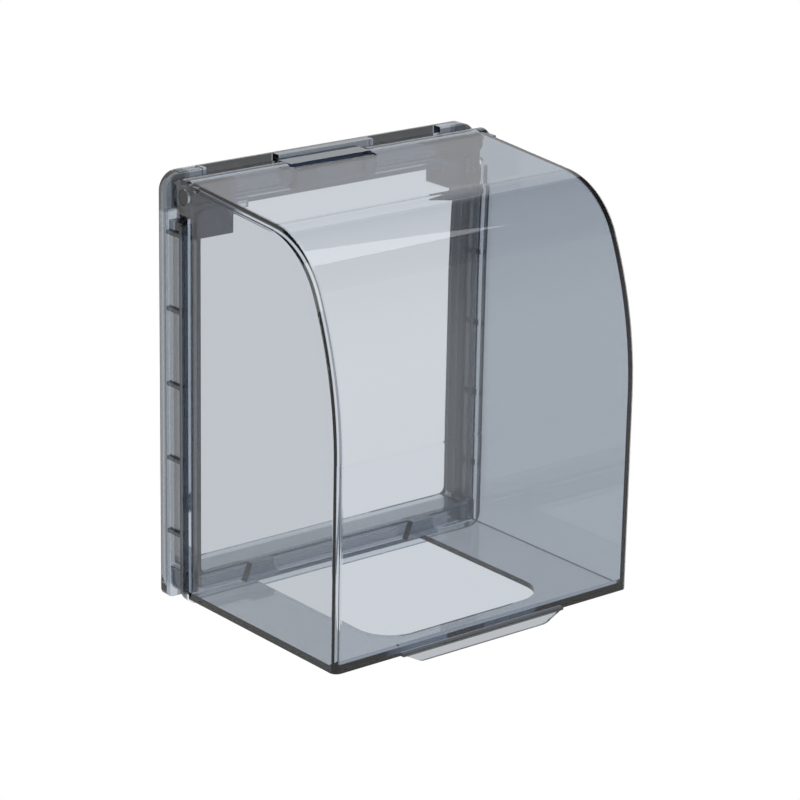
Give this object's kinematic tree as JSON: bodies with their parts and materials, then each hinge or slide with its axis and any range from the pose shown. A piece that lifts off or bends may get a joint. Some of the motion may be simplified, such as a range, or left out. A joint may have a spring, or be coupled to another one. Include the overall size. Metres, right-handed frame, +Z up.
{
  "type": "weatherproof flip cover",
  "caption": "Clear smoke-grey hood on an open frame that sticks over a wall socket or switch, hinged along the top to flip up, with a cable cut-out and finger tab below.",
  "frame": {"origin": "middle of the wall face, the plane the frame's tape sticks to, at half the frame's height", "axes": "+Z up, +Y into the wall, so the hood's front looks along -Y, +X to the right as seen from the front"},
  "size_m": [0.1, 0.072, 0.115],
  "materials": {
    "smoke_clear": "polished transparent smoke-grey moulding",
    "foam_tape": "matt closed-cell foam with adhesive"
  },
  "bodies": {
    "base": {"base_frame": "smoke_clear", "wall_tape": "foam_tape"},
    "hood": {"flip_hood": "smoke_clear"}
  },
  "joints": [
    {"name": "hood_hinge", "type": "hinge", "parent": "base", "child": "hood", "pos_m": [0, -0.0086, 0.0515], "axis": [-1, 0, 0], "range_deg": [0, 85]}
  ]
}
